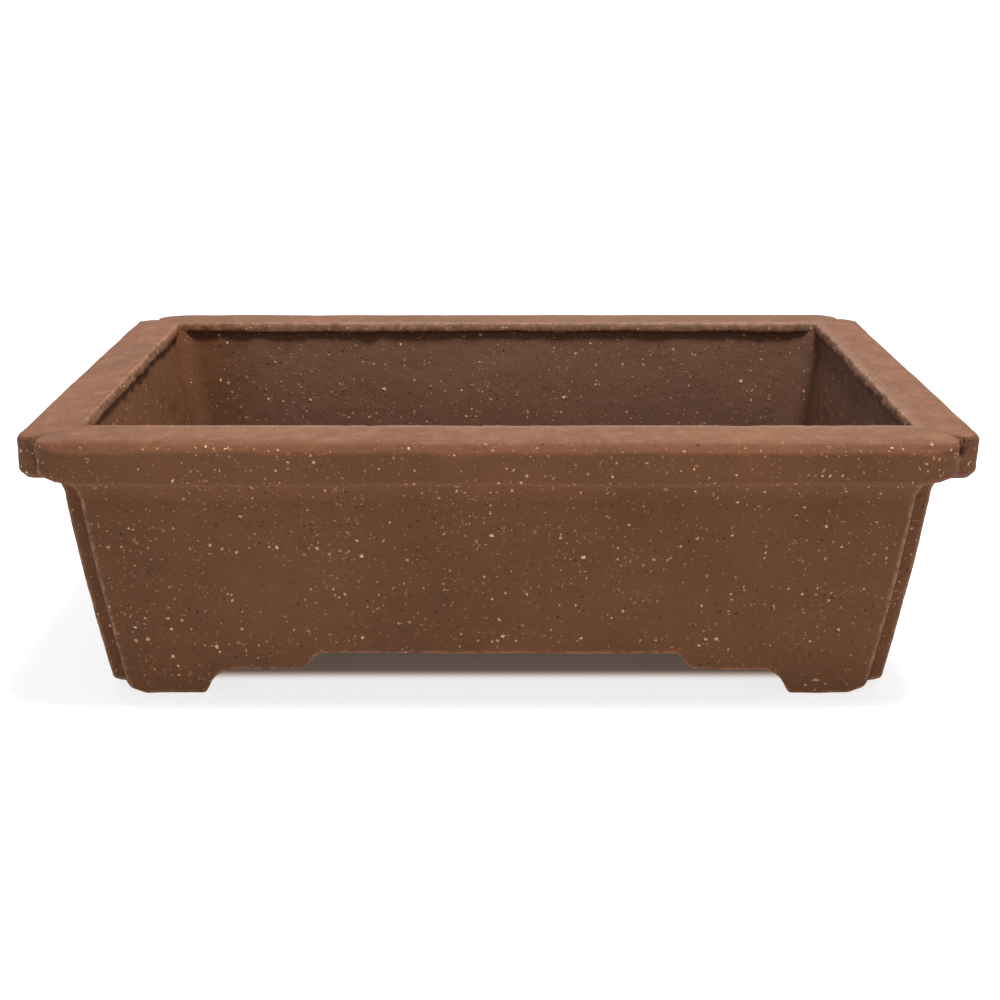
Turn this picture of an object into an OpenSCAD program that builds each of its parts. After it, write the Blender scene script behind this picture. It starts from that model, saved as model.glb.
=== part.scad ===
// Rectangular bonsai pot with indented corners, slab built in brown grogged stoneware.
//
// Each clay slab is a piece of its own, and the pieces meet face to face. The floor is butted
// between the walls, the walls lap over four corner posts, and the rim is four strips that are
// mitred at the corners and rebated over the top of the walls. The walls run down past the floor
// as a cut-out apron, which leaves an L-shaped foot at each corner.
//
// The front is -Y and up is +Z. The origin is at the middle of the plane that the feet stand on.
// An inset is a distance inwards from the pot's outer size, pot_w by pot_d.

/* [Overall size] */
// Width over the rim
pot_w = 180; // [170:1:260]
// Depth over the rim
pot_d = 115; // [105:1:180]
// Height from the feet to the top of the rim
pot_h = 56; // [52:1:80]

/* [Rim] */
// Width of the rim, from its outer edge to the pot's mouth
rim_w = 12; // [11:0.5:16]
// Height of the rim's outer face
rim_h = 8.7; // [6:0.1:10]
// Thickness of the rim where it overhangs the inside of the pot
lip_t = 2.2; // [1.5:0.1:3.5]
// Bevel round the top outer edge
rim_bevel = 2; // [0.5:0.1:2.5]
// Bevel round the bottom outer edge
rim_under_bevel = 1; // [0.2:0.1:2]
// Depth of the indent at each corner of the rim
rim_indent = 4.5; // [3:0.1:6]
// Radius of the two rounded ends that meet in a rim corner
rim_end_r = 4; // [3:0.1:6]

/* [Walls] */
// Inset of the outer face at the feet
foot_inset = 12.2; // [10:0.1:13]
// Inset of the outer face at the neck, just below the rim's cove
neck_inset = 7.2; // [6.8:0.1:8]
// How far the outer face swells out between the feet and the neck
belly = 0.3; // [0:0.05:0.8]
// Reach of the cove that carries the rim
cove_out = 3.8; // [2:0.1:5]
// Height of the cove
cove_h = 6; // [4:0.5:10]
// Inset of the inner face at the height of the rim's top
mouth_inset = 10.2; // [10:0.1:11]
// Lean of the inner face, in millimetres in for each millimetre down
inner_lean = 0.17; // [0.14:0.01:0.2]
// Depth of the indent at each corner of the walls
wall_indent = 4; // [2:0.1:4.2]
// Inset of the top of the walls, where the rim laps over them
tenon_inset = 5.5; // [5:0.1:6]
// Radius of the soft corners inside the pot
inner_corner_r = 5; // [2:0.5:8]

/* [Feet and apron] */
// Height of the raised middle of the apron
apron_mid_h = 9.2; // [7:0.1:9.8]
// Height of the apron's step beside each foot
apron_step_h = 5.5; // [4:0.1:6.5]
// Length of each foot along the front and back walls
long_foot = 16; // [12:0.5:20]
// Length of the step along the front and back walls
long_step = 13; // [8:0.5:20]
// Length of each foot along the side walls
short_foot = 12.4; // [10:0.2:13]
// Length of the step along the side walls
short_step = 7; // [4:0.5:8]
// Width of the curve between a foot and its step
foot_curve_w = 6; // [4:0.5:7]
// Width of the curve between the step and the middle
step_curve_w = 3.6; // [2:0.2:5]

/* [Floor] */
// Height of the floor's underside above the table
floor_z = 10; // [10:0.5:14]
// Thickness of the floor
floor_t = 6; // [4:0.5:8]
// Diameter of the two drain holes
drain_d = 14; // [8:0.5:20]
// Distance between the centres of the drain holes
drain_gap = 76; // [60:1:90]
// Diameter of the four holes for tie-down wire
wire_d = 4; // [2.5:0.5:5]
// Distance between the wire holes along the pot
wire_gap_x = 116; // [110:1:120]
// Distance between the wire holes across the pot
wire_gap_y = 52; // [30:1:60]

/* [Hidden] */

wall_clay = "#68442f";
post_clay = "#6f4a35";
rim_clay = "#9c7258";
floor_clay = "#57392b";

half_w = pot_w / 2;
half_d = pot_d / 2;
rim_z = pot_h - rim_h;     // underside of the rim's outer part
tenon_z = pot_h - lip_t;   // top of the walls, inside the rim
neck_z = rim_z - cove_h;   // top of the plain part of the walls
post_flat = 0.5;           // flat stretch of a post on each side of the soft corner

belly_steps = 8;
cove_steps = 8;
curve_steps = 8;
spare = 1;       // how far a cutting shape goes past what it cuts
layer_t = 0.01;  // thickness of the flat layers that a hull joins
$fn = 64;
hull_fn = 32;

function mix(a, b, t) = a + (b - a) * t;

// Inset of a wall's outer face at height z, from the feet to the neck.
function outer_inset(z) =
    let (t = z / neck_z)
    mix(foot_inset, neck_inset, t) - 4 * belly * t * (1 - t);

// Inset of a wall's inner face at height z.
function inner_inset(z) = mouth_inset + (pot_h - z) * inner_lean;

// Inset of the far side of a post at height z.
function post_inset(z) = inner_inset(z) + inner_corner_r + post_flat;

// The outer face of the walls from below the feet to above the tenon, as [inset, height].
outer_face = concat(
    [
        for (i = [0 : belly_steps])
            let (z = mix(-spare, neck_z, i / belly_steps))
            [outer_inset(z), z]
    ],
    [
        for (i = [1 : cove_steps])
            let (a = 90 * i / cove_steps)
            [neck_inset - cove_out * (1 - cos(a)), neck_z + cove_h * sin(a)]
    ],
    [[tenon_inset, rim_z], [tenon_inset, pot_h]]
);

// An outline and its mirror image in the vertical axis, as one closed outline.
function both_sides(points) = concat(
    points,
    [for (i = [len(points) - 1 : -1 : 0]) [-points[i][0], points[i][1]]]
);

// Turns a drawing of [y, z] into a bar along X.
module bar_x() rotate([90, 0, 90]) linear_extrude(2 * pot_w, center = true) children();

// Turns a drawing of [x, z] into a bar along Y.
module bar_y() rotate([90, 0, 0]) linear_extrude(2 * pot_w, center = true) children();

// A centred block of the given half sizes between two heights.
module block(half_x, half_y, z0, z1)
    translate([-half_x, -half_y, z0]) cube([2 * half_x, 2 * half_y, z1 - z0]);

// A wall's cross-section, between its outer face and the far side of the posts.
module wall_section(half)
    polygon(concat(
        [for (p = outer_face) [p[0] - half, p[1]]],
        [[post_inset(pot_h) - half, pot_h], [post_inset(-spare) - half, -spare]]
    ));

// All that lies between two opposite indented faces.
module core_section(half)
    polygon(both_sides([for (p = outer_face) [half - wall_indent - p[0], p[1]]]));

// All that lies outside the far side of the posts, on both sides.
module beyond_posts(half)
    for (side = [-1, 1])
        polygon([
            [side * (half - post_inset(-spare)), -spare],
            [side * half, -spare],
            [side * half, pot_h],
            [side * (half - post_inset(pot_h)), pot_h],
        ]);

// The inside of a pot of the given half sizes: a tapering box with soft corners, longer than
// the pot is tall.
module hollow(half_x, half_y)
    hull()
        for (z = [-spare, pot_h + spare])
            for (x_side = [-1, 1])
                for (y_side = [-1, 1])
                    translate([
                        x_side * (half_x - inner_inset(z) - inner_corner_r),
                        y_side * (half_y - inner_inset(z) - inner_corner_r),
                        z,
                    ])
                        cylinder(r = inner_corner_r, h = layer_t, center = true, $fn = hull_fn);

// The opening under one wall: a raised middle with a step and a concave curve beside each foot.
module apron_cut(half, foot, step)
    let (
        foot_end = half - foot_inset - wall_indent - foot,
        step_start = foot_end - foot_curve_w,
        mid_start = step_start - step,
        mid_end = mid_start - step_curve_w
    )
    polygon(both_sides(concat(
        [[foot_end, -spare]],
        [
            for (i = [0 : curve_steps])
                let (a = 90 * i / curve_steps)
                [step_start + foot_curve_w * cos(a), apron_step_h * sin(a)]
        ],
        [
            for (i = [0 : curve_steps])
                let (t = i / curve_steps)
                [
                    mix(mid_start, mid_end, t),
                    mix(apron_step_h, apron_mid_h, (1 - cos(180 * t)) / 2),
                ]
        ]
    )));

// A wall that faces -Y. out is half the pot's size towards it, along half the size beside it.
module wall(out, along, foot, step)
    difference() {
        intersection() {
            bar_x() wall_section(out);
            bar_y() core_section(along);
            block(pot_w, pot_w, 0, tenon_z);
        }
        hollow(along, out);
        intersection() {
            bar_x() core_section(out);
            bar_y() beyond_posts(along);
        }
        bar_y() apron_cut(along, foot, step);
    }

module long_wall() wall(half_d, half_w, long_foot, long_step);

module short_wall() rotate([0, 0, 90]) wall(half_w, half_d, short_foot, short_step);

// The post in the corner at +X, +Y. Its inner edge carries the soft corner of the hollow.
module post()
    difference() {
        intersection() {
            bar_y() core_section(half_w);
            bar_x() core_section(half_d);
            bar_y() beyond_posts(half_w);
            bar_x() beyond_posts(half_d);
            cube([half_w, half_d, tenon_z]);
        }
        hollow(half_w, half_d);
    }

// A rim strip on the side that faces -Y, with rounded ends, bevelled edges and mitres.
module rim_strip(out, along)
    difference() {
        intersection() {
            hull()
                for (edge = [
                    [rim_z, rim_under_bevel],
                    [rim_z + rim_under_bevel, 0],
                    [pot_h - rim_bevel, 0],
                    [pot_h - layer_t, rim_bevel],
                ])
                    translate([0, 0, edge[0]]) rim_layer(out, along, edge[1]);
            linear_extrude(pot_h)
                polygon([
                    [rim_w - along, rim_w - out],
                    [-along, -out],
                    [along, -out],
                    [along - rim_w, rim_w - out],
                ]);
        }
        tenon(out, along);
    }

// One flat layer of a rim strip before it is mitred, drawn in by inset on its outer edges.
module rim_layer(out, along, inset)
    for (side = [-1, 1]) {
        translate([side * (along - rim_indent - rim_end_r), rim_end_r - out, 0])
            cylinder(r = rim_end_r - inset, h = layer_t, $fn = hull_fn);
        translate([side * (along - rim_indent - inset) - layer_t, rim_w - out - layer_t, 0])
            cube(layer_t);
    }

// The top of the walls and all inside it, which the rim laps over.
module tenon(out, along) {
    block(along - tenon_inset - wall_indent, out - tenon_inset, rim_z - spare, tenon_z);
    block(along - tenon_inset, out - tenon_inset - wall_indent, rim_z - spare, tenon_z);
}

module long_rim() rim_strip(half_d, half_w);

module short_rim() rotate([0, 0, 90]) rim_strip(half_w, half_d);

module floor_slab() color(floor_clay)
    difference() {
        intersection() {
            hollow(half_w, half_d);
            block(pot_w, pot_w, floor_z, floor_z + floor_t);
        }
        for (x_side = [-1, 1]) {
            floor_hole(drain_d, x_side * drain_gap / 2, 0);
            for (y_side = [-1, 1])
                floor_hole(wire_d, x_side * wire_gap_x / 2, y_side * wire_gap_y / 2);
        }
    }

module floor_hole(d, x, y)
    translate([x, y, floor_z - spare]) cylinder(d = d, h = floor_t + 2 * spare);

module front_wall() color(wall_clay) long_wall();
module back_wall() color(wall_clay) rotate([0, 0, 180]) long_wall();
module right_wall() color(wall_clay) short_wall();
module left_wall() color(wall_clay) rotate([0, 0, 180]) short_wall();

module back_right_post() color(post_clay) post();
module back_left_post() color(post_clay) mirror([1, 0, 0]) post();
module front_right_post() color(post_clay) mirror([0, 1, 0]) post();
module front_left_post() color(post_clay) rotate([0, 0, 180]) post();

module front_rim() color(rim_clay) long_rim();
module back_rim() color(rim_clay) rotate([0, 0, 180]) long_rim();
module right_rim() color(rim_clay) short_rim();
module left_rim() color(rim_clay) rotate([0, 0, 180]) short_rim();

floor_slab();
front_wall();
back_wall();
left_wall();
right_wall();
front_left_post();
front_right_post();
back_left_post();
back_right_post();
front_rim();
back_rim();
left_rim();
right_rim();
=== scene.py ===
"""The looks of a slab-built bonsai pot in unglazed brown stoneware, full of pale grog."""
import itertools
import math

import bpy
import numpy as np
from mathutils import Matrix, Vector, geometry


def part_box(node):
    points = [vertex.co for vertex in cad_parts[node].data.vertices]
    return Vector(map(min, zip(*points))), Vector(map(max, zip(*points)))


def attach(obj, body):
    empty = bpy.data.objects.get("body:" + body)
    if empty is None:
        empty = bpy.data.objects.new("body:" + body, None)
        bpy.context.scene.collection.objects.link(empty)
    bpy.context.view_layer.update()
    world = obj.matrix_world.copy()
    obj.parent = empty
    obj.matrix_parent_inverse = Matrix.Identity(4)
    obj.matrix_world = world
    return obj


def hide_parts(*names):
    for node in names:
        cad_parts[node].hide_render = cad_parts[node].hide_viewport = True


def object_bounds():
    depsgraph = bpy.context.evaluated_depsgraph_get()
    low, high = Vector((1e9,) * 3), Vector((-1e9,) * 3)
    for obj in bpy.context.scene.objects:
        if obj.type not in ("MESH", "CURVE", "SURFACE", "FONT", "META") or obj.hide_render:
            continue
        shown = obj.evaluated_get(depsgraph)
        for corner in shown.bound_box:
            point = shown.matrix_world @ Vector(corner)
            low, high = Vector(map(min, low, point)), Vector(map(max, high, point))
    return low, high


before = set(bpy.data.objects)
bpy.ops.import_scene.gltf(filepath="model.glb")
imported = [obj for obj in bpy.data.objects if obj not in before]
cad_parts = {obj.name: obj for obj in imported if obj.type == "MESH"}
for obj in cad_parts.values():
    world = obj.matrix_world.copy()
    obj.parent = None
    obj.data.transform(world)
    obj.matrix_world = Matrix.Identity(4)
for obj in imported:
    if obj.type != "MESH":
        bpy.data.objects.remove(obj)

CAD_LOW, CAD_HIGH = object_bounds()

# ---------------------------------------------------------------------------
# Sizes, in metres. An inset is a distance inwards from the pot's outer size.
# ---------------------------------------------------------------------------
MM = 0.001
HALF_W = CAD_HIGH.x
HALF_D = CAD_HIGH.y
TOP_Z = CAD_HIGH.z
RIM_LOW, RIM_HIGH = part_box("front_rim")
RIM_Z = RIM_LOW.z
RIM_W = RIM_HIGH.y - RIM_LOW.y
TENON_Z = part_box("front_wall")[1].z
FLOOR_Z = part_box("floor_slab")[0].z
FLOOR_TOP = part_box("floor_slab")[1].z

FOOT_INSET = 12.2 * MM
NECK_INSET = 7.2 * MM
BELLY = 0.3 * MM
COVE_OUT = 3.8 * MM
COVE_H = 6 * MM
NECK_Z = RIM_Z - COVE_H
TENON_INSET = 5.5 * MM
MOUTH_INSET = 10.8 * MM
INNER_LEAN = 0.17
WALL_INDENT = 4 * MM
WALL_END_R = 1.4 * MM
INNER_CORNER_R = 5 * MM
POST_FLAT = 0.5 * MM
LAP_GAP = 0.3 * MM

RIM_BEVEL = 2.1 * MM
RIM_BEVEL_W = 1.8 * MM
RIM_UNDER = 1.5 * MM
RIM_END_RISE = 1.0 * MM
RIM_END_SOFT = 10 * MM
RIM_END_BEVEL = 1.0 * MM
RIM_END_BEVEL_W = 1.0 * MM
RIM_INDENT = 4.5 * MM
RIM_END_R = 4 * MM
LIP_EDGE_R = 0.5 * MM
EDGE_R = 0.5 * MM

APRON_MID = 9.2 * MM
APRON_STEP = 5.5 * MM
FOOT_CURVE_W = 6 * MM
STEP_CURVE_W = 3.6 * MM
APRON_SOFT = 0.55 * MM
LONG_FOOT, LONG_STEP = 16 * MM, 13 * MM
SHORT_FOOT, SHORT_STEP = 12.4 * MM, 7 * MM
FOOT_CORNER_RISE = 0.6 * MM
FOOT_CORNER_R = 1.6 * MM
NOTCH_SHARP = 0.85

DISH_H, DISH_W = 1.6 * MM, 4 * MM
DRAIN_R, DRAIN_X = 7 * MM, 38 * MM
WIRE_R, WIRE_X, WIRE_Y = 2 * MM, 58 * MM, 26 * MM

# Torn clay at the rim's front corners: place, reach and depth of each dent, in millimetres
DENTS = (
    (85.3, -53.5, 52.9, 1.9, 1.3),
    (-85.0, -54.2, 51.6, 1.7, 0.9),
    (83.2, -55.3, 53.4, 1.1, 0.4),
)

PITCH = 0.5 * MM
END_STRETCH, END_ARC, END_FACE = 16 * MM, 3.4 * MM, 4 * MM
CAP_INTO_JOINT = 0.3 * MM
LAP_OVER_TOP = 0.2 * MM

# Unevenness of the clay: height and lump size in millimetres, and seed
BROAD_LUMPS = ((0.16, 26, 11), (0.09, 9, 12))
FINE_LUMPS = ((0.05, 3.2, 13), (0.035, 1.3, 14))
TORN_LUMPS = ((0.26, 3.4, 18), (0.16, 1.5, 19))
LIP_SWAY = ((0.35, 14, 41), (0.22, 4, 42))

# Colours as they look on a screen, from 0 to 255
# The last of these is painted shade: the shadowed side of grains, and the inside of pits and holes
CREAM, TAN, RUST, PAINTED_SHADE = (222, 180, 138), (190, 136, 92), (158, 102, 62), (44, 27, 19)
PALE_STREAK, DARK_STREAK = (122, 84, 62), (84, 50, 31)
# The first is painted light and the second painted shade, both for the hollow; the last is the pale of
# worn edges, partly painted highlight and painted light
PAINTED_HOLLOW_LIGHT, PAINTED_DEEP_SHADE, RUB_AND_PAINTED_LIGHT = (104, 78, 64), (68, 43, 31), (168, 124, 94)

# Clay of each kind of piece: name, dark, base and light colour, share of grains, wiped top or not
CLAYS = {
    "wall": ("wall_clay", (87, 53, 31), (95, 58, 34), (103, 64, 38), 0.5, False),
    "post": ("post_clay", (87, 53, 32), (95, 58, 35), (103, 64, 39), 0.3, False),
    "rim": ("rim_clay", (89, 55, 33), (97, 60, 37), (105, 66, 41), 0.6, True),
    "slab": ("floor_clay", (84, 52, 34), (93, 58, 38), (102, 65, 43), 0.4, False),
}

# Light: strengths, and where the floor's glow fades to a dim brown painted shadow under the pot,
# measured in from the pot's outer size
SHEET_GLOW = 1.1
FLOOR_GLOW = 0.78
UNDER_GLOW = 0.07
UNDER_POT = 19 * MM
UNDER_FADE = 5 * MM
AIR = 0.3
KEY_POWER = 12.8
FILL_POWER = 1.05

# Camera, as the photographer stood: lens in millimetres, distances in metres, tilt in degrees
LENS = 54.3
CAMERA_BACK = 0.319
CAMERA_UP = 0.0776
CAMERA_DOWN = 18.7
CAMERA_SHIFT = 0.0025


def mix(a, b, t):
    """The value a share t of the way from a to b."""
    return a + (b - a) * t


def smooth(t):
    """A soft step from 0 to 1."""
    t = np.clip(t, 0.0, 1.0)
    return t * t * (3 - 2 * t)


def steps(length, least=1):
    """How many grid steps cover a length at the working pitch."""
    return max(least, int(round(length / PITCH)))


# ---------------------------------------------------------------------------
# Noise on arrays of points
# ---------------------------------------------------------------------------
def lattice(cell, seed):
    """A random number from -1 to 1 for each whole-number cell."""
    c = cell.astype(np.int64).astype(np.uint32)
    h = c[:, 0] * np.uint32(73856093) ^ c[:, 1] * np.uint32(19349663) ^ c[:, 2] * np.uint32(83492791)
    h = h ^ np.uint32((seed * 2654435761) & 0xFFFFFFFF)
    h = (h ^ (h >> np.uint32(13))) * np.uint32(1274126177)
    h = (h ^ (h >> np.uint32(16))) * np.uint32(2246822519)
    h = h ^ (h >> np.uint32(15))
    return (h & np.uint32(0xFFFF)) / 32767.5 - 1.0


def noise(points, size, seed):
    """Smooth noise from -1 to 1 with lumps of about the given size."""
    q = points / size
    cell = np.floor(q)
    f = smooth(q - cell)
    total = np.zeros(len(points))
    for corner in itertools.product((0, 1), repeat=3):
        weight = np.prod(np.where(corner, f, 1 - f), axis=1)
        total += weight * lattice(cell + corner, seed)
    return total


def spots(points, size, radius, share, seed):
    """From 0 to 1 inside round spots: one in each cell of the given size, for a share of cells."""
    q = points / size
    home = np.floor(q)
    best = np.zeros(len(points))
    for offset in itertools.product((-1, 0, 1), repeat=3):
        cell = home + offset
        here = lattice(cell, seed) * 0.5 + 0.5
        centre = np.stack([lattice(cell, seed + k) * 0.5 + 0.5 for k in (1, 2, 3)], axis=1)
        reach = radius * (0.45 + 0.55 * (lattice(cell, seed + 4) * 0.5 + 0.5)) / size
        near = 1 - np.linalg.norm(q - cell - centre, axis=1) / reach
        best = np.maximum(best, np.where(here < share, smooth(near), 0.0))
    return best


# ---------------------------------------------------------------------------
# The pot's cross-section
# ---------------------------------------------------------------------------
def outer_inset(z):
    """Inset of the walls' outer face at height z, the cove under the rim included."""
    z = np.asarray(z, float)
    t = np.minimum(z, NECK_Z) / NECK_Z
    face = mix(FOOT_INSET, NECK_INSET, t) - 4 * BELLY * t * (1 - t)
    rise = np.clip((z - NECK_Z) / COVE_H, 0, 1)
    cove = NECK_INSET - COVE_OUT * (1 - np.sqrt(1 - rise**2))
    inset = np.where(z > NECK_Z, cove, face)
    return np.where(z > RIM_Z + 1e-9, TENON_INSET, inset)


def inner_inset(z):
    """Inset of the hollow's faces at height z."""
    return MOUTH_INSET + (TOP_Z - z) * INNER_LEAN


class Side:
    """The columns of one side of the pot, which faces -Y: from its middle out to both corners.

    out is the pot's half size towards the side, and along is the half size beside it. Columns in
    the first stretch run from the middle to the post, and the rest go on round the rounded end
    and back along the indent.
    """

    def __init__(self, out, along, foot, step):
        self.out, self.along = out, along
        self.foot_end = along - FOOT_INSET - WALL_INDENT - foot
        self.step = step
        middle = np.linspace(0, 1, steps(self.post_line(TENON_Z)) + 1)
        straight = np.linspace(0, 1, steps(END_STRETCH) + 1)
        arc = np.linspace(0, 1, steps(END_ARC, 5) + 1)[1:]
        face = np.linspace(0, 1, steps(END_FACE, 5) + 1)[1:]
        half = [(0, t, 0, 0) for t in middle]
        half += [(1, t, 0, 0) for t in straight]
        half += [(2, 1, t, 0) for t in arc]
        half += [(3, 1, 1, t) for t in face]
        half = np.array(half, float)
        beyond = np.cumsum(half[:, 0] > 0) - 1.0
        beyond = np.clip(beyond / beyond.max(), 0, 1)
        self.part, self.t, self.turn, self.face = [self.both(half[:, k]) for k in range(4)]
        self.beyond = self.both(beyond)
        count = len(half)
        self.sign = np.concatenate([-np.ones(count - 1), np.ones(count)])

    @staticmethod
    def both(values):
        """Column values for both halves, from those of one half."""
        return np.concatenate([values[:0:-1], values])

    def post_line(self, z):
        """Distance from the middle to the edge of the post."""
        return self.along - inner_inset(z) - INNER_CORNER_R - POST_FLAT

    def place(self, x, depth, z):
        """Points of all columns, from distances along the side and into the pot."""
        z = np.broadcast_to(z, x.shape)
        return np.stack([self.sign * x, depth - self.out, z], axis=1)

    def outline(self, inset, indent, radius, z, line_z=None):
        """Points of the indented outline at an inset."""
        post = self.post_line(z if line_z is None else line_z)
        end = self.along - inset - indent - radius
        angle = self.turn * math.pi / 2
        x = np.where(self.part == 0, self.t * post, mix(post, end, self.t))
        x = np.where(self.part >= 2, end + radius * np.sin(angle), x)
        depth = inset + radius * (1 - np.cos(angle)) * (self.part >= 2)
        depth = depth + self.face * (indent - radius)
        return self.place(x, depth, z)

    def straight_line(self, depth, z, line_z=None):
        """Points of a plain straight line at a depth, out to the mitre."""
        post = self.post_line(z if line_z is None else line_z)
        x = np.where(self.part == 0, self.t * post, mix(post, self.along - depth, self.beyond))
        return self.place(x, depth + 0 * x, z)

    def wall_outer(self, z, more=0.0):
        """The outer face at height z, moved in by more."""
        return self.outline(outer_inset(z) + more, WALL_INDENT, WALL_END_R, z)

    def wall_inner(self, z, less=0.0):
        """The inner face, and the lap in front of the post beyond it."""
        post = self.post_line(z)
        lap = outer_inset(z) + WALL_INDENT
        x = np.where(self.part == 0, self.t * post, mix(post, self.along - lap - LAP_GAP, self.beyond))
        depth = np.where(self.part == 0, inner_inset(z) - less, lap)
        return self.place(x, depth, z)

    def apron(self):
        """Height of the wall's bottom edge in each column, with softened corners."""
        fine = np.linspace(0, self.along, 1600)
        foot_end = self.foot_end
        step_start = foot_end - FOOT_CURVE_W
        mid_start = step_start - self.step
        curve = np.sqrt(np.clip(1 - ((fine - step_start) / FOOT_CURVE_W) ** 2, 0, 1))
        height = np.where(fine < foot_end, APRON_STEP * curve, 0.0)
        height = np.where(fine < step_start, APRON_STEP, height)
        rise = smooth((mid_start - fine) / STEP_CURVE_W)
        height = np.where(fine < mid_start, mix(APRON_STEP, APRON_MID, rise), height)
        reach = np.arange(-24, 25)
        kernel = np.exp(-((reach * (fine[1] - fine[0])) ** 2) / (2 * APRON_SOFT**2))
        padded = np.concatenate([height[24:0:-1], height, np.zeros(24)])
        height = np.convolve(padded, kernel / kernel.sum(), mode="valid")
        bottom = np.zeros(len(self.t))
        for _ in range(4):
            x = np.where(self.part == 0, self.t * self.post_line(bottom), self.along)
            bottom = np.interp(x, fine, height)
        return bottom + FOOT_CORNER_RISE * self.foot_corner()

    def foot_corner(self):
        """From 0 to 1 over the last of the foot, where its corner is worn round."""
        return smooth(np.where(self.part == 0, 0.0, self.beyond * 3.2 - 1.55))


# ---------------------------------------------------------------------------
# Pieces as grids: rows of columns that close into a loop, with capped ends
# ---------------------------------------------------------------------------
class Piece:
    """Points and faces of one piece, with which faces are skin and how much each point is paled by
    wear and painted light.
    """

    def __init__(self, name):
        self.name = name
        self.points, self.faces, self.skin, self.wear_and_painted_light = [], [], [], []
        self.count = 0

    def add_points(self, points, wear_and_painted_light=0.0):
        start = self.count
        self.points.append(points)
        self.wear_and_painted_light.append(np.broadcast_to(wear_and_painted_light, len(points)))
        self.count += len(points)
        return np.arange(start, self.count)

    def add_faces(self, faces, skin):
        self.faces.extend(faces)
        self.skin.extend([skin] * len(faces))

    def strip(self, a, b, skin, close=False):
        """Quads between two rows of point numbers. skin is one value, or one for each point."""
        if close:
            a, b = np.append(a, a[0]), np.append(b, b[0])
        quads = np.stack([a[:-1], a[1:], b[1:], b[:-1]], axis=1)
        skin = np.broadcast_to(skin, len(a))
        self.faces.extend(quads.tolist())
        self.skin.extend((skin[:-1] & skin[1:]).tolist())

    def cap(self, ring, flip, skin=False):
        """Triangles over a ring of point numbers, all wound the way the ring runs."""
        every = np.concatenate(self.points)
        loop = [Vector(every[i]) for i in ring]
        for tri in geometry.tessellate_polygon([loop]):
            a, b, c = (int(ring[i]) for i in sorted(tri))
            self.add_faces([(a, c, b) if flip else (a, b, c)], skin)

    def turn(self, angle):
        """Turns what was built facing -Y to face its own way."""
        c, s = round(math.cos(angle)), round(math.sin(angle))
        every = np.concatenate(self.points)
        turned = every.copy()
        turned[:, 0] = c * every[:, 0] - s * every[:, 1]
        turned[:, 1] = s * every[:, 0] + c * every[:, 1]
        self.points = [turned]
        return self


def ring_of_rows(piece, rows):
    """Joins (points, skin below it, wear and painted light) rows into a closed loop and caps both
    ends.
    """
    numbers = [piece.add_points(points, wear_and_painted_light) for points, _, wear_and_painted_light in rows]
    for k, (_, skin, _) in enumerate(rows):
        piece.strip(numbers[(k + 1) % len(rows)], numbers[k], skin)
    piece.cap([n[0] for n in numbers], True)
    piece.cap([n[-1] for n in numbers], False)


def wall(name, side, angle):
    """Outer face, apron edge, under-floor face, floor joint, inner face and the joint at the top."""
    bottom = side.apron()
    edge_r = mix(EDGE_R, FOOT_CORNER_R, side.foot_corner()) * (1 - NOTCH_SHARP * side.face)
    open_face = side.part == 0
    # Painted highlight: a pale line round each wall's rounded end
    painted_end_highlight = 0.8 * (side.part == 2) * np.sin(np.pi * np.clip(side.turn * 1.2, 0, 1))
    # Joint face inside the rim, then the cove under it
    rows = [(side.outline(TENON_INSET, WALL_INDENT, WALL_END_R, TENON_Z, TENON_Z), False, 0)]
    rows.append((side.outline(TENON_INSET, WALL_INDENT, WALL_END_R, RIM_Z, RIM_Z), False, 0))
    cove = steps(8 * MM, 8)
    for k in range(cove, 0, -1):
        z = NECK_Z + COVE_H * math.sin(k / cove * math.pi / 2)
        rows.append((side.wall_outer(z), True, painted_end_highlight))
    # Outer face, down to its rounded bottom edge
    face = steps(NECK_Z)
    start = bottom + edge_r
    for k in range(face + 1):
        z = mix(NECK_Z, start, k / face)
        # A thin pale line along the apron's edge: partly wear, partly painted highlight
        wear_and_painted_light = np.maximum(0.6 * np.exp(-(((z - start) / (0.3 * MM)) ** 2)), painted_end_highlight)
        rows.append((side.wall_outer(z), True, wear_and_painted_light))
    for k in range(1, 4):
        a = k / 3 * math.pi / 2
        z = bottom + edge_r * (1 - math.sin(a))
        rows.append((side.wall_outer(z, edge_r * (1 - math.cos(a))), True, 0.5))
    # Underside, and the rounded edge behind it
    outer_edge = rows[-1][0]
    inner_edge = side.wall_inner(bottom)
    inner_edge[:, 1] -= np.where(side.part == 0, EDGE_R, 0)
    across = steps(7 * MM)
    for k in range(1, across):
        rows.append((mix(outer_edge, inner_edge, k / across), True, 0.2))
    for k in range(0, 4):
        a = k / 3 * math.pi / 2
        z = bottom + EDGE_R * (1 - math.cos(a))
        rows.append((side.wall_inner(z, EDGE_R * (1 - math.sin(a))), open_face, 0.3))
    # Inner face: below the floor, across the floor's joint, and up the hollow
    under = steps(8 * MM)
    for k in range(1, under + 1):
        z = mix(start, FLOOR_Z + CAP_INTO_JOINT, k / under)
        rows.append((side.wall_inner(z), open_face & (k < under), 0))
    inside = steps(TENON_Z - FLOOR_TOP)
    for k in range(inside + 1):
        z = mix(FLOOR_TOP - CAP_INTO_JOINT, TENON_Z + LAP_OVER_TOP, k / inside)
        rows.append((side.wall_inner(z), open_face & (k < inside), 0))
    piece = Piece(name)
    ring_of_rows(piece, rows)
    return piece.turn(angle)


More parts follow.
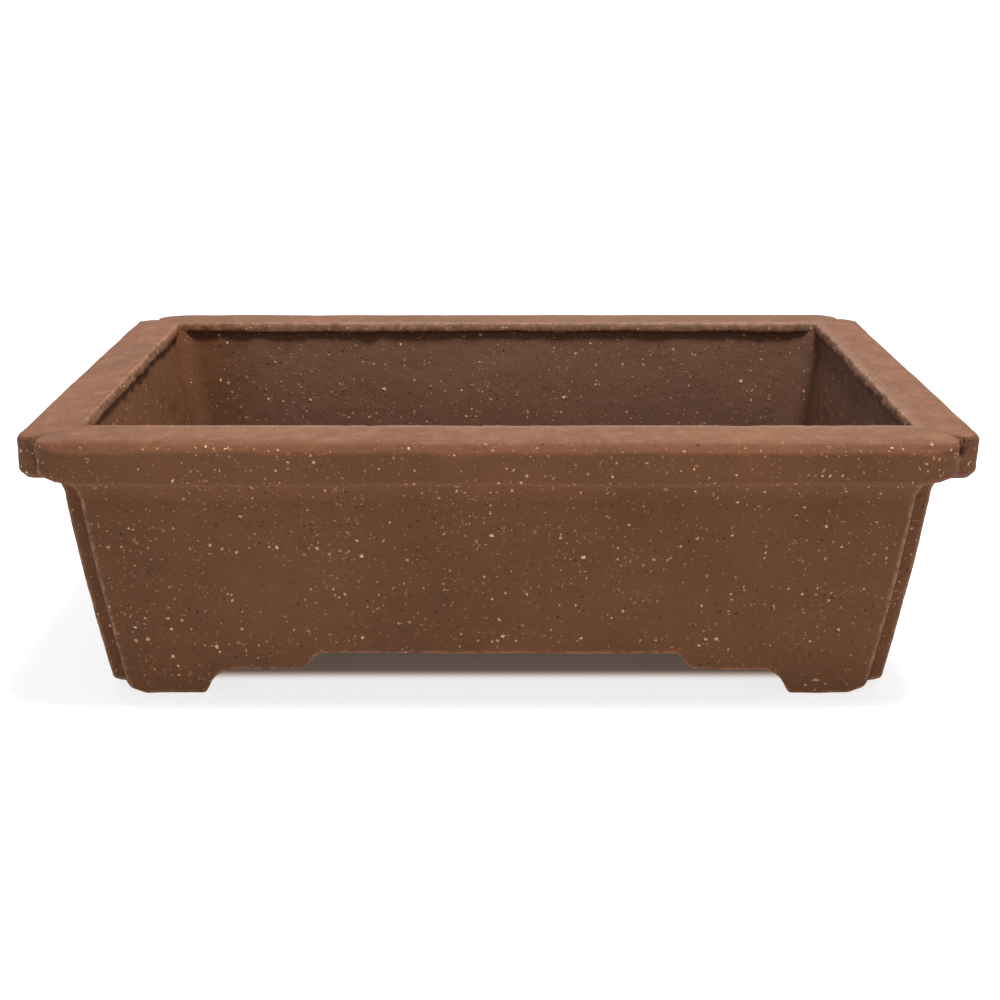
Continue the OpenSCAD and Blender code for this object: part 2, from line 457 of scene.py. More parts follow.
def rim(name, side, angle):
    """Flat top, bevel, outer face, underside, the joint over the wall, and the inner lip."""
    top, low = TOP_Z, RIM_Z
    mouth = side.straight_line(RIM_W - LIP_EDGE_R, top, low)
    rows = []

    def edge(inset, z, wear_and_painted_light=0.0):
        points = side.outline(inset, RIM_INDENT, RIM_END_R - inset, z, low)
        rows.append((points, True, wear_and_painted_light))

    # Towards its ends the strip is worn: its bevel narrows and its underside rises
    ends = side.along - RIM_INDENT - np.abs(side.outline(0, RIM_INDENT, RIM_END_R, top, low)[:, 0])
    shut = 1 - side.face
    rise = RIM_END_RISE * smooth(1 - ends / RIM_END_SOFT) * shut * (side.along > side.out)
    worn = smooth(1.2 - ends / (0.6 * RIM_END_SOFT)) * shut
    bevel_h = mix(RIM_BEVEL, RIM_END_BEVEL, worn)
    bevel_w = mix(RIM_BEVEL_W, RIM_END_BEVEL_W, worn)
    under_z = low + rise
    under_r = RIM_UNDER + 0.6 * rise

    # Flat top and slightly swollen bevel
    outer = side.outline(bevel_w, RIM_INDENT, RIM_END_R - bevel_w, top, low)
    across = steps(RIM_W - RIM_BEVEL_W)
    for k in range(across + 1):
        # The mouth's top edge is paled: partly wear, partly painted highlight
        rows.append((mix(mouth, outer, k / across), True, 0.7 if k == 0 else 0))
    bevel = steps(3 * MM, 4)
    for k in range(1, bevel + 1):
        t = k / bevel
        swell = 0.22 * MM * math.sin(math.pi * t)
        edge((bevel_w - swell) * (1 - t), top - bevel_h * t + swell * (1 - t))
    # Outer face and rounded lower edge
    face = steps(TOP_Z - RIM_BEVEL - RIM_Z - RIM_UNDER)
    for k in range(1, face + 1):
        edge(0, mix(top - bevel_h, under_z + under_r, k / face))
    for k in range(1, 5):
        a = k / 4 * math.pi / 2
        edge(RIM_UNDER * (1 - math.cos(a)), under_z + under_r * (1 - math.sin(a)))
    # Underside, and the joint over the wall
    under_edge = rows[-1][0]
    cove_top = side.outline(outer_inset(RIM_Z), WALL_INDENT, WALL_END_R, low)
    under = steps(2.4 * MM, 3)
    for k in range(1, under + 1):
        rows.append((mix(under_edge, cove_top, k / under), k < under, 0))
    rows.append((side.outline(TENON_INSET, WALL_INDENT, WALL_END_R, low, low), False, 0))
    rows.append((side.outline(TENON_INSET, WALL_INDENT, WALL_END_R, TENON_Z, low), False, 0))
    # Overhang past the wall's inner face, and the inner lip
    back = inner_inset(TENON_Z) - 0.4 * MM
    overhang = steps(RIM_W - back, 4)
    for k in range(overhang):
        depth = mix(back, RIM_W, k / overhang)
        rows.append((side.straight_line(depth, TENON_Z, low), True, 0))
    lip = steps(TOP_Z - TENON_Z, 5)
    for k in range(lip):
        t = k / lip
        swell = LIP_EDGE_R * (1 - t**3)
        z = mix(TENON_Z, top, t)
        # Painted light: the inner lip is paled all over
        rows.append((side.straight_line(RIM_W - LIP_EDGE_R + swell, z, low), True, 0.45))
    piece = Piece(name)
    ring_of_rows(piece, rows)
    return piece.turn(angle)


def post(name, x_sign, y_sign):
    """The corner piece, with the hollow's soft corner on its inner side."""
    piece = Piece(name)
    levels = list(np.linspace(FOOT_CORNER_RISE * 0.6, FLOOR_Z + CAP_INTO_JOINT, steps(9 * MM) + 1))
    joint = len(levels) - 1
    inside = steps(TENON_Z - FLOOR_TOP) + 1
    levels += list(np.linspace(FLOOR_TOP - CAP_INTO_JOINT, TENON_Z + LAP_OVER_TOP, inside))
    turns = np.linspace(0, math.pi / 2, steps(8 * MM, 6) + 1)
    previous = None
    for k, z in enumerate(levels):
        centre_x = HALF_W - inner_inset(z) - INNER_CORNER_R
        centre_y = HALF_D - inner_inset(z) - INNER_CORNER_R
        near_x, near_y = centre_x - POST_FLAT, centre_y - POST_FLAT
        far = outer_inset(min(z, TENON_Z)) + WALL_INDENT
        far_x, far_y = HALF_W - far, HALF_D - far
        x = [near_x, *(centre_x + INNER_CORNER_R * np.sin(turns)), centre_x + INNER_CORNER_R]
        y = [centre_y + INNER_CORNER_R, *(centre_y + INNER_CORNER_R * np.cos(turns)), near_y]
        x += [far_x, far_x, near_x]
        y += [near_y, far_y, far_y]
        ring = np.stack([x_sign * np.array(x), y_sign * np.array(y), np.full(len(x), z)], axis=1)
        numbers = piece.add_points(ring)
        if previous is not None:
            seen = len(turns) + 2
            skin = k - 1 != joint
            order = (previous, numbers) if x_sign * y_sign > 0 else (numbers, previous)
            piece.strip(order[0][:seen], order[1][:seen], skin)
            rest = [np.append(row[seen - 1:], row[0]) for row in order]
            piece.strip(rest[0], rest[1], False)
        else:
            piece.cap(numbers, x_sign * y_sign > 0, True)
        previous = numbers
    piece.cap(previous, x_sign * y_sign < 0)
    return piece


def circle(cx, cy, radius, turn=0.0):
    """Points evenly round a circle; turn shifts them by a share of one step."""
    count = 64 if radius > 4 * MM else 32
    a = 2 * np.pi * (np.arange(count) + 0.37 + turn) / count
    return np.column_stack([cx + radius * np.cos(a), cy + radius * np.sin(a)])


def floor_slab(name):
    """The floor, dished up a little where its edge is worked into the walls, with its holes."""
    piece = Piece(name)
    grow = 0.4 * MM
    pitch = PITCH * 2
    half_x = HALF_W - inner_inset(FLOOR_TOP) + grow
    half_y = HALF_D - inner_inset(FLOOR_TOP) + grow
    radius = INNER_CORNER_R
    # Outline, with the corners that the posts leave
    rim_points = []
    for sx, sy, start in ((1, 1, 0), (-1, 1, 90), (-1, -1, 180), (1, -1, 270)):
        for k in range(9):
            a = math.radians(start + k * 90 / 8)
            cx, cy = sx * (half_x - radius), sy * (half_y - radius)
            rim_points.append((cx + radius * math.cos(a), cy + radius * math.sin(a)))
    edge = []
    for a, b in zip(rim_points, rim_points[1:] + rim_points[:1]):
        a, b = np.array(a), np.array(b)
        count = max(1, int(np.linalg.norm(b - a) / pitch))
        edge += [tuple(mix(a, b, k / count)) for k in range(count)]
    # Holes, each with rings round it, in a staggered grid
    holes = [(x * DRAIN_X, 0, DRAIN_R) for x in (-1, 1)]
    holes += [(x * WIRE_X, y * WIRE_Y, WIRE_R) for x in (-1, 1) for y in (-1, 1)]
    flat = list(edge)
    loops = [list(range(len(edge)))]
    for cx, cy, r in holes:
        loops.append(list(range(len(flat), len(flat) + len(circle(cx, cy, r)))))
        for ring, more in enumerate((1.0, 1.8, 3.0)):
            flat += [tuple(p) for p in circle(cx, cy, r + more * EDGE_R, ring / 2)]
    for row, x in enumerate(np.arange(-half_x + pitch, half_x - pitch / 2, pitch)):
        for y in np.arange(-half_y + pitch * (0.8 + 0.5 * (row % 2)), half_y - pitch / 2, pitch):
            clear = all(math.hypot(x - cx, y - cy) > r + 4.2 * EDGE_R for cx, cy, r in holes)
            over_x, over_y = abs(x) - (half_x - radius), abs(y) - (half_y - radius)
            corner = over_x > 0 and over_y > 0 and math.hypot(over_x, over_y) > radius - pitch / 2
            if clear and not corner:
                flat.append((x, y))
    edges = [(a, b) for loop in loops for a, b in zip(loop, loop[1:] + loop[:1])]
    made = geometry.delaunay_2d_cdt([Vector(p) for p in flat], edges, [], 0, 1e-9)
    points = np.array([tuple(v) for v in made[0]])
    triangles = []
    for tri in made[2]:
        mx, my = points[list(tri)].mean(axis=0)
        if all(math.hypot(mx - cx, my - cy) > r + EDGE_R * 0.98 for cx, cy, r in holes):
            triangles.append(tuple(tri))
    # Top and bottom sheets, and the edge between them
    from_wall = np.minimum(half_x - np.abs(points[:, 0]), half_y - np.abs(points[:, 1]))
    dish = DISH_H * np.clip(1 - from_wall / DISH_W, 0, 1) ** 2
    top = piece.add_points(np.column_stack([points, FLOOR_TOP + dish]))
    low = piece.add_points(np.column_stack([points, np.full(len(points), FLOOR_Z)]))
    piece.add_faces([(int(top[a]), int(top[b]), int(top[c])) for a, b, c in triangles], True)
    piece.add_faces([(int(low[a]), int(low[c]), int(low[b])) for a, b, c in triangles], True)
    outer = np.array([nearest(points, p) for p in edge])
    piece.strip(low[outer], top[outer], False, close=True)
    # Insides of the holes, with softened edges
    for cx, cy, r in holes:
        ring = [nearest(points, p) for p in circle(cx, cy, r + EDGE_R)]
        previous = top[ring]
        profile = [(EDGE_R * (1 - math.sin(t)), FLOOR_TOP - EDGE_R * (1 - math.cos(t)))
                   for t in np.radians((30, 60, 90))]
        profile += [(0, z) for z in np.linspace(FLOOR_TOP - 1.6 * EDGE_R, FLOOR_Z + 1.6 * EDGE_R, 6)]
        profile += [(EDGE_R * (1 - math.cos(t)), FLOOR_Z + EDGE_R * (1 - math.sin(t)))
                    for t in np.radians((0, 30, 60))]
        for more, z in profile:
            round_hole = circle(cx, cy, r)
            round_hole = (cx, cy) + (round_hole - (cx, cy)) * (r + more) / r
            numbers = piece.add_points(np.column_stack([round_hole, np.full(len(round_hole), z)]))
            piece.strip(previous, numbers, True, close=True)
            previous = numbers
        piece.strip(previous, low[ring], True, close=True)
    return piece


def nearest(points, p):
    """Number of the point nearest to p."""
    return int(np.argmin(((points - np.array(p)) ** 2).sum(axis=1)))


# ---------------------------------------------------------------------------
# One skin for all pieces: shared normals and shared displacement
# ---------------------------------------------------------------------------
def weld(piece):
    """Merges coincident points and drops faces that have closed up."""
    every = np.concatenate(piece.points)
    wear_and_painted_light = np.concatenate(piece.wear_and_painted_light)
    keys = np.round(every / 1e-7).astype(np.int64)
    _, first, number = np.unique(keys, axis=0, return_index=True, return_inverse=True)
    number = number.ravel()
    piece.co, piece.rub = every[first], wear_and_painted_light[first]
    faces, skins = [], []
    for face, skin in zip(piece.faces, piece.skin):
        ids = [int(number[i]) for i in face]
        ids = [v for k, v in enumerate(ids) if v != ids[k - 1]]
        if len(set(ids)) >= 3:
            faces.append(ids)
            skins.append(skin)
    piece.faces, piece.skin = faces, np.array(skins)


def face_normals(co, faces):
    """Normals of triangles and quads, as long as twice the face's area."""
    a = np.array([f[0] for f in faces])
    b = np.array([f[1] for f in faces])
    c = np.array([f[2] for f in faces])
    d = np.array([f[-1] for f in faces])
    return np.cross(co[c] - co[a], co[d] - co[b] + (co[b] - co[a]) * (c == d)[:, None])


def shared_normals(made):
    """Normals of the skin, averaged over every piece that meets at a point."""
    co = np.concatenate([p.co for p in made])
    keys = np.round(co / 2e-6).astype(np.int64)
    _, number = np.unique(keys, axis=0, return_inverse=True)
    number = number.ravel()
    total = np.zeros((number.max() + 1, 3))
    start = 0
    for p in made:
        vectors = face_normals(p.co, p.faces)
        for k in range(4):
            ids = np.array([f[k] if k < len(f) else -1 for f in p.faces])
            use = (ids >= 0) & p.skin
            np.add.at(total, number[ids[use] + start], vectors[use])
        start += len(p.co)
    length = np.linalg.norm(total, axis=1)
    total = total / np.maximum(length, 1e-20)[:, None]
    start = 0
    for p in made:
        p.normal = total[number[start:start + len(p.co)]]
        start += len(p.co)


def lumps(points, layers):
    """Several layers of noise added up."""
    return sum(height * MM * noise(points, size * MM, seed) for height, size, seed in layers)


def displace(p):
    """Hand-made unevenness, pits and torn edges, moved along the skin's own normals."""
    co, n = p.co, p.normal
    # The rim's top is wiped smoother than the rest
    rim_top = smooth((co[:, 2] - (TOP_Z - 0.9 * MM)) / (0.7 * MM))
    rough = 1 - 0.75 * rim_top * smooth((n[:, 2] - 0.6) / 0.3)
    depth = np.minimum(HALF_W - np.abs(co[:, 0]), HALF_D - np.abs(co[:, 1]))
    push = lumps(co, BROAD_LUMPS) + rough * lumps(co, FINE_LUMPS)
    # Pits, and grains pushed up under the skin
    push -= rough * 0.28 * MM * spots(co, 5.5 * MM, 0.95 * MM, 0.4, 21)
    push += rough * 0.16 * MM * spots(co, 4.2 * MM, 0.9 * MM, 0.5, 31)
    # The bevel's lower edge wavers
    bevel = smooth(1 - np.abs(co[:, 2] - (TOP_Z - RIM_BEVEL)) / (1.4 * MM)) * (depth < 3 * MM)
    push += bevel * 0.16 * MM * noise(co, 3.0 * MM, 15)
    # The mouth's edge is torn, most on the short sides and least at the mitres
    mouth = (depth > RIM_W - 1.6 * MM) & (co[:, 2] > TENON_Z - 0.1 * MM) & (depth < RIM_W + 0.1 * MM)
    torn = 0.4 + 0.6 * smooth(noise(co, 22 * MM, 17) * 1.5 + 0.3)
    mitre = np.hypot(HALF_W - RIM_W - np.abs(co[:, 0]), HALF_D - RIM_W - np.abs(co[:, 1]))
    short_lip = smooth((np.abs(co[:, 0]) - (HALF_W - RIM_W - 1.5 * MM)) / (1 * MM))
    torn *= smooth(mitre / (3.5 * MM)) * mix(1.0, 2.0, short_lip)
    push += mouth * torn * lumps(co, TORN_LUMPS)
    # The rim's corners are worn and dented
    apart = np.hypot(HALF_W - np.abs(co[:, 0]), HALF_D - np.abs(co[:, 1]))
    corner = smooth(1 - apart / (13 * MM)) * (co[:, 2] > RIM_Z)
    push += corner * (0.32 * MM * noise(co, 4.5 * MM, 16) - 0.95 * MM)
    for x, y, z, reach, deep in DENTS:
        away = np.linalg.norm(co - np.array((x, y, z)) * MM, axis=1)
        push -= deep * MM * smooth(1 - away / (reach * MM))
    outside = np.linalg.norm(n, axis=1) > 0.5
    p.co = co + n * (push * outside)[:, None]
    # The inner lip's lower edge hangs unevenly
    sway = lumps(co, LIP_SWAY)
    low = smooth((TOP_Z - co[:, 2]) / (TOP_Z - TENON_Z))
    p.co[:, 2] += mouth * sway * low * smooth(mitre / (3.5 * MM))
    np.clip(p.co, np.array(CAD_LOW) + 1e-6, np.array(CAD_HIGH) - 1e-6, out=p.co)


def to_object(p, material):
    """A Blender mesh with the shared normals on its skin, and flat ones on its joints."""
    mesh = bpy.data.meshes.new(p.name + "_clay")
    mesh.from_pydata(p.co.tolist(), [], p.faces)
    mesh.polygons.foreach_set("use_smooth", np.ones(len(mesh.polygons), bool))
    depth = np.minimum(HALF_W - np.abs(p.co[:, 0]), HALF_D - np.abs(p.co[:, 1]))
    inside = smooth((depth - inner_inset(p.co[:, 2]) + 1.2 * MM) / (0.6 * MM))
    for word, values in (("wear_and_painted_light", p.rub), ("inside", inside)):
        attribute = mesh.attributes.new(word, "FLOAT", "POINT")
        attribute.data.foreach_set("value", values.astype(np.float32))
    vectors = face_normals(p.co, p.faces)
    vectors /= np.maximum(np.linalg.norm(vectors, axis=1), 1e-20)[:, None]
    sizes = np.array([len(f) for f in p.faces])
    corners = np.concatenate([np.array(f) for f in p.faces])
    skin = np.repeat(p.skin, sizes)
    normals = np.where(skin[:, None], p.normal[corners], np.repeat(vectors, sizes, axis=0))
    mesh.normals_split_custom_set(normals.tolist())
    mesh.materials.append(material)
    obj = bpy.data.objects.new(p.name + "_clay", mesh)
    bpy.context.scene.collection.objects.link(obj)
    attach(obj, "root")
    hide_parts(p.name)
    return obj


# ---------------------------------------------------------------------------
# Clay
# ---------------------------------------------------------------------------
class Nodes:
    """Short calls for making and joining shader nodes."""

    def __init__(self, name):
        self.material = bpy.data.materials.new(name)
        self.material.use_nodes = True
        self.tree = self.material.node_tree
        self.tree.nodes.clear()

    def add(self, kind, inputs=None, **settings):
        node = self.tree.nodes.new(kind)
        for key, value in settings.items():
            setattr(node, key, value)
        for key, value in (inputs or {}).items():
            if isinstance(value, bpy.types.NodeSocket):
                self.tree.links.new(value, node.inputs[key])
            else:
                node.inputs[key].default_value = value
        return node

    def math(self, operation, a, b=0.0, c=0.0):
        return self.add("ShaderNodeMath", {0: a, 1: b, 2: c}, operation=operation).outputs[0]

    def ramp(self, value, low, high, to_low=0.0, to_high=1.0):
        """Smooth step of a value from one range to another."""
        inputs = {"Value": value, "From Min": low, "From Max": high}
        inputs |= {"To Min": to_low, "To Max": to_high}
        node = self.add("ShaderNodeMapRange", inputs, interpolation_type="SMOOTHSTEP")
        return node.outputs["Result"]

    def blend(self, amount, a, b):
        node = self.add("ShaderNodeMix", data_type="RGBA")
        for socket, value in ((node.inputs[0], amount), (node.inputs[6], a), (node.inputs[7], b)):
            if isinstance(value, bpy.types.NodeSocket):
                self.tree.links.new(value, socket)
            else:
                socket.default_value = value
        return node.outputs[2]

    def part(self, factor, share, extra=1.0):
        """A factor times a share, times one more factor."""
        return self.math("MULTIPLY", self.math("MULTIPLY", factor, share), extra)

    def noise(self, vector, scale, detail=3.0, rough=0.5):
        inputs = {"Vector": vector, "Scale": scale, "Detail": detail, "Roughness": rough}
        return self.add("ShaderNodeTexNoise", inputs).outputs["Fac"]

    def moved(self, vector, offset, stretch=(1, 1, 1)):
        inputs = {"Vector": vector, "Location": offset, "Scale": stretch}
        return self.add("ShaderNodeMapping", inputs).outputs["Vector"]

    def grains(self, vector, scale, share, least, most):
        """Grains in a share of the cells: how far inside one a point is, and the cell's colour."""
        inputs = {"Vector": vector, "Scale": scale, "Randomness": 1.0}
        cell = self.add("ShaderNodeTexVoronoi", inputs, voronoi_dimensions="3D", feature="F1")
        split = self.add("ShaderNodeSeparateColor", {"Color": cell.outputs["Color"]})
        size = self.ramp(split.outputs["Green"], 0.0, 1.0, least, most)
        present = self.math("LESS_THAN", split.outputs["Red"], share)
        size = self.math("MULTIPLY", size, present)
        size = self.math("ADD", size, 0.0001)
        inside = self.math("DIVIDE", cell.outputs["Distance"], size)
        return self.ramp(inside, 1.05, 0.7), split.outputs["Blue"]


def colour(screen):
    """A colour given as it looks on a screen, from 0 to 255."""
    def linear(v):
        v /= 255
        return v / 12.92 if v <= 0.04045 else ((v + 0.055) / 1.055) ** 2.4
    return (*(linear(v) for v in screen), 1.0)


def clay(name, dark, base, light, grain_share, wiped_top):
    """Brown stoneware: mottled body, pale and orange grog, drag marks and worn edges, with painted
    shade on grain sides and in pits, painted highlights on edges, and painted light and shade in the
    hollow.
    """
    dark, base, light = colour(dark), colour(base), colour(light)
    n = Nodes(name)
    place = n.add("ShaderNodeTexCoord").outputs["Object"]
    mm = n.moved(place, (0, 0, 0), (1000, 1000, 1000))
    warp = n.add("ShaderNodeTexNoise", {"Vector": mm, "Scale": 2.4, "Detail": 3.0})
    centred = {0: warp.outputs["Color"], 1: (-0.5, -0.5, -0.5)}
    shift = n.add("ShaderNodeVectorMath", centred, operation="ADD")
    shift = n.add("ShaderNodeVectorMath", {0: shift.outputs[0], "Scale": 0.85}, operation="SCALE")
    bent = n.add("ShaderNodeVectorMath", {0: mm, 1: shift.outputs[0]}, operation="ADD").outputs[0]

    # Body, mottled in three sizes
    broad = n.noise(mm, 0.035, 3.0)
    patch = n.noise(mm, 0.22, 4.0, 0.6)
    fine = n.noise(mm, 2.4, 5.0, 0.65)
    body = n.blend(n.ramp(broad, 0.3, 0.7), dark, light)
    body = n.blend(n.ramp(patch, 0.3, 0.7, 0.0, 0.8), body, base)
    body = n.blend(n.ramp(fine, 0.35, 0.75, 0.0, 0.35), body, light)
    body = n.blend(n.ramp(fine, 0.5, 0.25, 0.0, 0.45), body, dark)

    # Grains of three sizes in clusters, the largest with a painted shadow on one side, then drag
    # marks, and pits darkened with painted shade
    crowd = n.noise(mm, 0.13, 4.0, 0.65)
    share = n.ramp(crowd, 0.36, 0.64, grain_share * 0.35, grain_share * 1.6)
    few = n.math("MULTIPLY", share, 0.85)
    grain_a, tint_a = n.grains(bent, 0.45, few, 0.08, 0.21)
    shade_a, _ = n.grains(n.moved(bent, (0.16, 0.1, 0.24)), 0.45, few, 0.08, 0.21)
    grain_b, tint_b = n.grains(n.moved(bent, (31, 7, 13)), 0.78, share, 0.12, 0.24)
    many = n.math("MULTIPLY", share, 0.9)
    grain_c, tint_c = n.grains(n.moved(bent, (3, 47, 29)), 1.5, many, 0.14, 0.28)
    drag, _ = n.grains(n.moved(bent, (5, 3, 61), (0.32, 0.32, 1.0)), 0.36, 0.12, 0.05, 0.11)
    pits, _ = n.grains(n.moved(bent, (17, 71, 5)), 0.6, 0.32, 0.08, 0.19)
    holes, _ = n.grains(n.moved(bent, (57, 11, 23)), 1.35, 0.42, 0.1, 0.22)
    # The rim's top was wiped: fewer grains show, and it is streaked
    fewer = 1.0
    if wiped_top:
        height = n.add("ShaderNodeSeparateXYZ", {"Vector": mm}).outputs["Z"]
        top = n.ramp(height, TOP_Z / MM - 1.0, TOP_Z / MM - 0.35)
        fewer = n.ramp(top, 0.0, 1.0, 1.0, 0.16)
        wiped = n.noise(n.moved(mm, (0, 0, 0), (0.35, 0.35, 1.0)), 0.9, 4.0, 0.65)
        pale_streak = n.math("MULTIPLY", top, n.ramp(wiped, 0.45, 0.75, 0.0, 0.5))
        dark_streak = n.math("MULTIPLY", top, n.ramp(wiped, 0.5, 0.25, 0.0, 0.6))
        body = n.blend(pale_streak, body, colour(PALE_STREAK))
        body = n.blend(dark_streak, body, colour(DARK_STREAK))
    # Painted light and shade in the hollow: its faces are lighter and greyer away from its left end,
    # and darker lower down
    inside = n.add("ShaderNodeAttribute", attribute_name="inside").outputs["Fac"]
    split = n.add("ShaderNodeSeparateXYZ", {"Vector": mm})
    away = n.ramp(split.outputs["X"], -76.0, -50.0, 0.0, 0.55)
    deep = n.ramp(split.outputs["Z"], 47.0, 28.0, 0.0, 0.4)
    body = n.blend(n.math("MULTIPLY", inside, away), body, colour(PAINTED_HOLLOW_LIGHT))
    body = n.blend(n.math("MULTIPLY", inside, deep), body, colour(PAINTED_DEEP_SHADE))

    def grog(under, amount, tint, strength):
        shade = n.blend(n.ramp(tint, 0.35, 0.6), colour(RUST), colour(TAN))
        shade = n.blend(n.ramp(tint, 0.55, 0.85), shade, colour(CREAM))
        return n.blend(n.part(amount, strength, fewer), under, shade)

    # Painted shade: the grains' shadowed sides, and then pits and holes, are darkened with it
    painted_shade_colour = colour(PAINTED_SHADE)
    body = n.blend(n.part(shade_a, 0.6, fewer), body, painted_shade_colour)
    body = grog(body, grain_c, tint_c, 0.42)
    body = grog(body, grain_b, tint_b, 0.62)
    body = grog(body, grain_a, tint_a, 0.78)
    body = grog(body, drag, tint_a, 0.4)
    body = n.blend(n.part(pits, 0.75, fewer), body, painted_shade_colour)
    body = n.blend(n.part(holes, 0.7, fewer), body, painted_shade_colour)

    # Worn edges are paler in patches; part of the pale is painted light: highlights on the wall ends,
    # the apron edge and the mouth's edge, and a lighter inner lip
    wear_and_painted_light = n.add("ShaderNodeAttribute", attribute_name="wear_and_painted_light").outputs["Fac"]
    patchy = n.ramp(n.noise(mm, 0.55, 4.0, 0.7), 0.38, 0.62)
    body = n.blend(n.part(wear_and_painted_light, patchy, 0.55), body, colour(RUB_AND_PAINTED_LIGHT))

    # Relief too fine for the mesh
    lift = n.math("MULTIPLY", fine, 0.55)
    lift = n.math("ADD", lift, n.math("MULTIPLY", n.noise(mm, 0.9, 4.0, 0.6), 0.5))
    relief = n.math("ADD", n.math("MULTIPLY", grain_a, 0.6), n.math("MULTIPLY", grain_b, 0.35))
    relief = n.math("SUBTRACT", relief, n.math("MULTIPLY", pits, 1.3))
    relief = n.math("SUBTRACT", relief, n.math("MULTIPLY", holes, 0.8))
    relief = n.math("ADD", n.math("MULTIPLY", relief, fewer), lift)
    bump = n.add("ShaderNodeBump", {"Height": relief, "Strength": 0.55, "Distance": 0.00022})
    rough = n.ramp(fine, 0.3, 0.7, 0.66, 0.86)
    if wiped_top:
        rough = n.math("SUBTRACT", rough, n.math("MULTIPLY", top, 0.12))
    inputs = {"Base Color": body, "Roughness": rough, "Specular IOR Level": 0.2}
    inputs |= {"Normal": bump.outputs["Normal"]}
    shader = n.add("ShaderNodeBsdfPrincipled", inputs)
    n.add("ShaderNodeOutputMaterial", {"Surface": shader.outputs["BSDF"]})
    return n.material


# ---------------------------------------------------------------------------
# The pot
# ---------------------------------------------------------------------------
def make_pot():
    long_side = Side(HALF_D, HALF_W, LONG_FOOT, LONG_STEP)
    short_side = Side(HALF_W, HALF_D, SHORT_FOOT, SHORT_STEP)
    quarter = math.pi / 2
    made = {"floor_slab": floor_slab("floor_slab")}
    sides = (("front", long_side), ("right", short_side), ("back", long_side), ("left", short_side))
    for k, (word, side) in enumerate(sides):
        made[word + "_wall"] = wall(word + "_wall", side, k * quarter)
        made[word + "_rim"] = rim(word + "_rim", side, k * quarter)
    for y_word, y_sign in (("front", -1), ("back", 1)):
        for x_word, x_sign in (("left", -1), ("right", 1)):
            name = f"{y_word}_{x_word}_post"
            made[name] = post(name, x_sign, y_sign)
    for p in made.values():
        weld(p)
    shared_normals(list(made.values()))
    for p in made.values():
        displace(p)
    shared_normals(list(made.values()))
    return made


def dress(made):
    """Makes the objects, each with the clay of its kind: the last word of its name."""
    materials = {kind: clay(*values) for kind, values in CLAYS.items()}
    for name, p in made.items():
        kind = name.rsplit("_", 1)[1]
        to_object(p, materials[kind])


# ---------------------------------------------------------------------------
# Studio
# ---------------------------------------------------------------------------
def stage_sheet(name, corners, material):
    mesh = bpy.data.meshes.new(name)
    mesh.from_pydata(corners, [], [(0, 1, 2, 3)])
    mesh.materials.append(material)
    obj = bpy.data.objects.new(name, mesh)
    bpy.context.scene.collection.objects.link(obj)


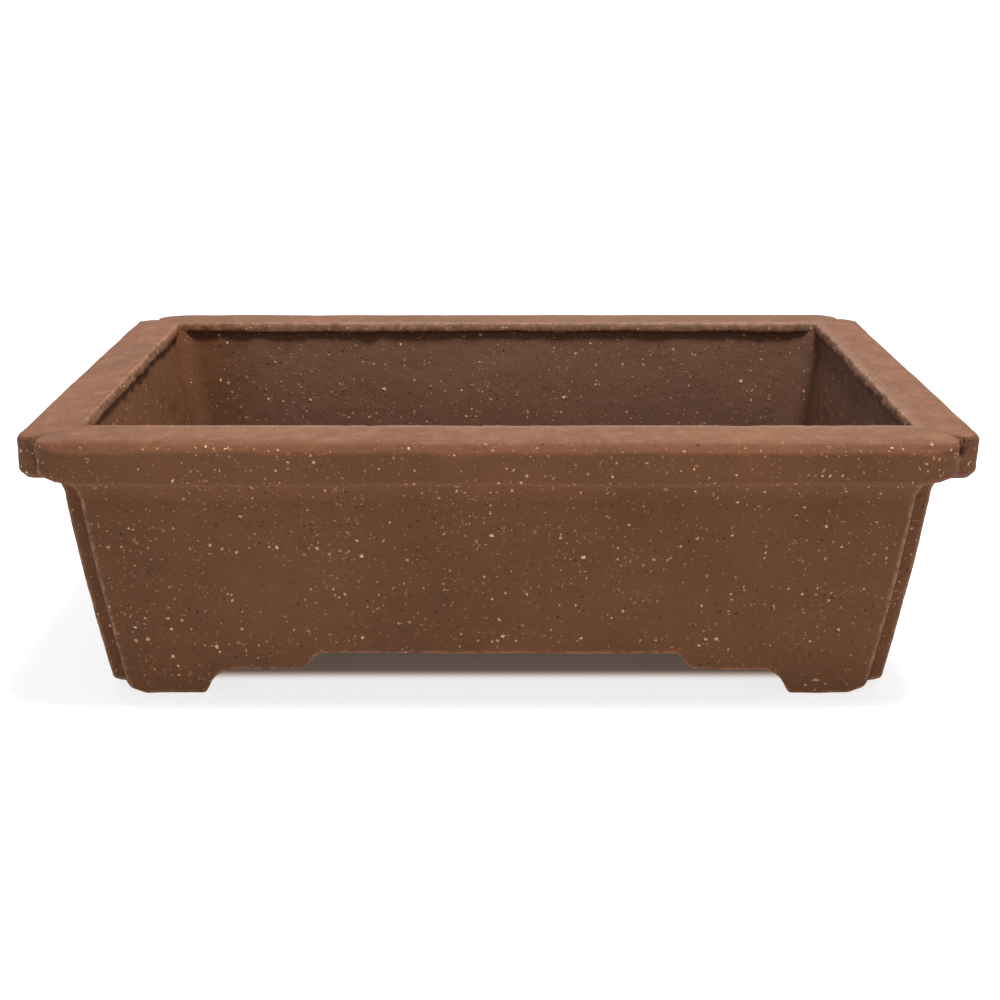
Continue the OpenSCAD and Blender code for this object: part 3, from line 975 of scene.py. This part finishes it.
def make_stage():
    """A pale glowing floor whose glow drops under the pot to a dim brown one, a painted shadow with
    painted bounce light, and a white sheet of light behind it.
    """
    n = Nodes("studio_floor")
    place = n.add("ShaderNodeTexCoord").outputs["Object"]
    mottle = n.ramp(n.noise(place, 6.0), 0.3, 0.7)
    tone = n.blend(mottle, (0.36, 0.375, 0.39, 1), (0.385, 0.40, 0.415, 1))
    split = n.add("ShaderNodeSeparateXYZ", {"Vector": place})
    from_side = n.math("SUBTRACT", HALF_W, n.math("ABSOLUTE", split.outputs["X"]))
    from_front = n.math("SUBTRACT", HALF_D, n.math("ABSOLUTE", split.outputs["Y"]))
    under = n.math("MINIMUM", from_side, from_front)
    # Painted shadow: the floor's glow drops to a weak one under the pot
    glow = n.ramp(under, UNDER_POT, UNDER_POT + UNDER_FADE, FLOOR_GLOW, UNDER_GLOW)
    inputs = {"Base Color": tone, "Roughness": 0.7, "Specular IOR Level": 0.2}
    # Painted bounce light: the weak glow under the pot is tinted brown
    tint = n.blend(n.ramp(under, UNDER_POT, UNDER_POT + UNDER_FADE), (1, 1, 1, 1), (1, 0.72, 0.56, 1))
    inputs |= {"Emission Color": tint, "Emission Strength": glow}
    shader = n.add("ShaderNodeBsdfPrincipled", inputs)
    n.add("ShaderNodeOutputMaterial", {"Surface": shader.outputs["BSDF"]})
    reach, drop, back = 4.0, 0.0002, 0.62
    floor = [(-reach, -reach, -drop), (reach, -reach, -drop)]
    floor += [(reach, back, -drop), (-reach, back, -drop)]
    stage_sheet("studio_floor", floor, n.material)
    n = Nodes("studio_sheet")
    glow = n.add("ShaderNodeEmission", {"Color": (1, 1, 1, 1), "Strength": SHEET_GLOW})
    n.add("ShaderNodeOutputMaterial", {"Surface": glow.outputs["Emission"]})
    sheet = [(-reach, back, -drop), (reach, back, -drop), (reach, back, 1.4), (-reach, back, 1.4)]
    stage_sheet("studio_sheet", sheet, n.material)


def area_light(name, place, target, size, power, tint=(1, 1, 1)):
    data = bpy.data.lights.new(name, "AREA")
    data.shape = "RECTANGLE"
    data.size, data.size_y = size
    data.energy = power
    data.color = tint
    obj = bpy.data.objects.new(name, data)
    obj.location = place
    obj.rotation_mode = "QUATERNION"
    obj.rotation_quaternion = (Vector(target) - Vector(place)).to_track_quat("-Z", "Y")
    bpy.context.scene.collection.objects.link(obj)


def make_lights():
    scene = bpy.context.scene
    world = bpy.data.worlds.new("studio_air")
    world.use_nodes = True
    world.node_tree.nodes["Background"].inputs["Color"].default_value = (1.0, 1.0, 1.0, 1)
    world.node_tree.nodes["Background"].inputs["Strength"].default_value = AIR
    scene.world = world
    # Place, target and size of each light, in metres
    area_light("key", (0.13, -0.1, 0.84), (0, 0, 0), (0.2, 0.14), KEY_POWER)
    area_light("front_fill", (0, -1.1, 0.45), (0, 0, 0.03), (1.2, 0.6), FILL_POWER)
    scene.view_settings.view_transform = "Standard"
    scene.view_settings.look = "None"


def make_camera():
    """Looks down at the front of the pot, as the photographer stood."""
    data = bpy.data.cameras.new("camera")
    data.sensor_width = 36.0
    data.lens = LENS
    data.shift_x = CAMERA_SHIFT
    data.clip_start, data.clip_end = 0.01, 20.0
    obj = bpy.data.objects.new("camera", data)
    obj.location = (0, -CAMERA_BACK, TOP_Z + CAMERA_UP)
    obj.rotation_euler = (math.radians(90 - CAMERA_DOWN), 0, 0)
    bpy.context.scene.collection.objects.link(obj)
    bpy.context.scene.camera = obj


dress(make_pot())
make_stage()
make_lights()
make_camera()
